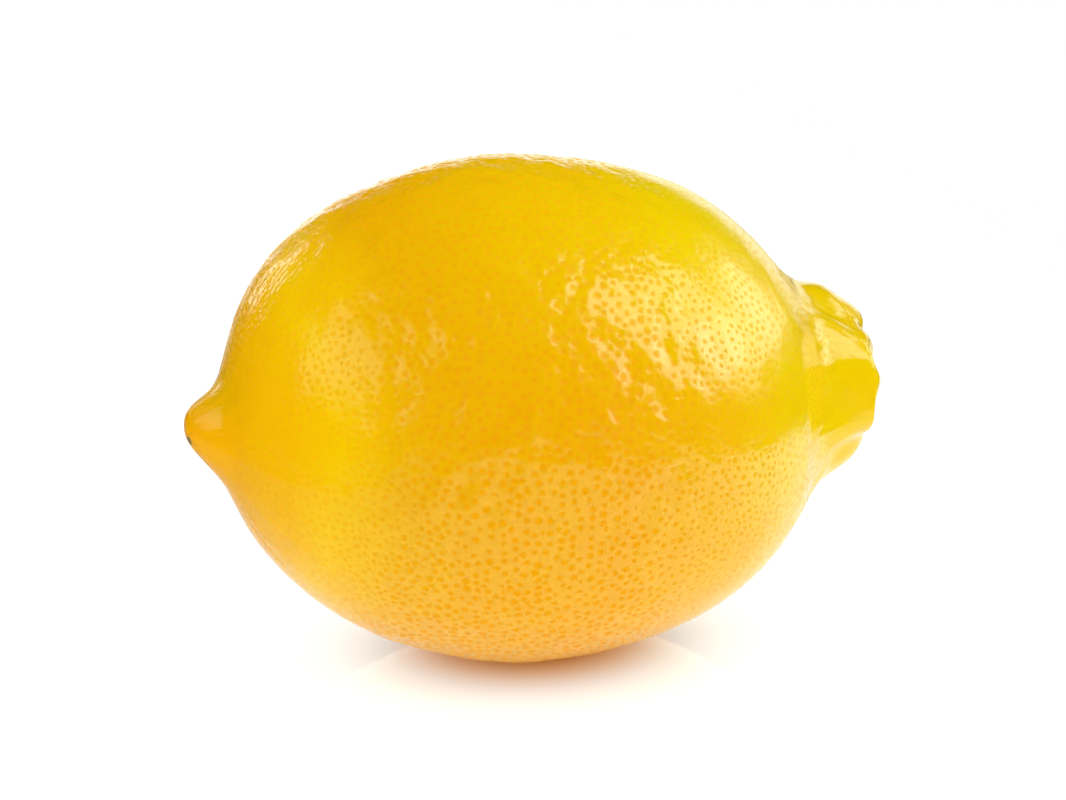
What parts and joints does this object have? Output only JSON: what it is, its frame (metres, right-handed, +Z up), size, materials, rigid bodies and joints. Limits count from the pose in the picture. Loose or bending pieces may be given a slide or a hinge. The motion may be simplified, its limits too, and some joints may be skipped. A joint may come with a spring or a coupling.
{
  "type": "lemon",
  "caption": "Whole lemon lying on its side: oval pitted peel, a small nipple at one end, a ribbed neck with a stem scar at the other, and a small flat spot to rest on.",
  "frame": {"origin": "middle of the fruit's bounding box at its lowest level, on the surface that it lies on", "axes": "+X from the nipple towards the stem neck along the core, +Z up, +Y away from the side that faces the viewer"},
  "size_m": [0.0828, 0.06, 0.0596],
  "materials": {
    "peel": "waxy satin citrus peel, finely pitted all over, smoother on the nipple and the neck"
  },
  "bodies": {
    "root": {"lemon": "peel"}
  },
  "joints": []
}
